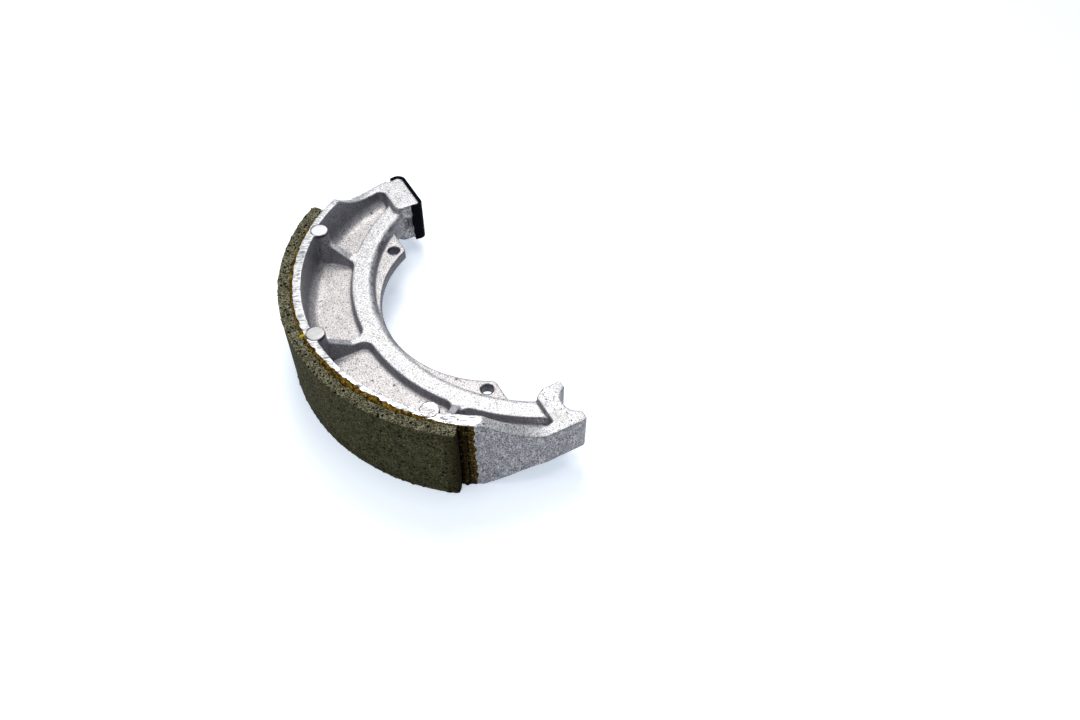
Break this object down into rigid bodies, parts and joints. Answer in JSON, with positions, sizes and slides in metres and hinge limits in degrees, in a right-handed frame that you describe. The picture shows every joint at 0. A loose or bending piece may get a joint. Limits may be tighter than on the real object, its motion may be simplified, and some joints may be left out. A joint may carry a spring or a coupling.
{
  "type": "brake shoe",
  "caption": "Curved drum brake shoe: a ribbed cast shoe with a bonded friction lining, an open seat for the anchor pin, a steel-capped cam end and holes for return springs.",
  "frame": {"origin": "drum centre, on the surface that the shoe's side face lies on", "axes": "+Z along the drum axis, +Y through the crown of the lining, +X towards the cam end"},
  "size_m": [0.1209, 0.0634, 0.028],
  "materials": {
    "cast_aluminium": "rough die-cast skin, machined on the rim's side faces",
    "friction_material": "ground matte, speckled",
    "cured_resin": "amber, semi-gloss",
    "dark_steel": "dark oxide, satin"
  },
  "bodies": {
    "root": {"shoe_casting": "cast_aluminium", "friction_lining": "friction_material", "bond_line": "cured_resin", "cam_end_cap": "dark_steel"}
  },
  "joints": []
}
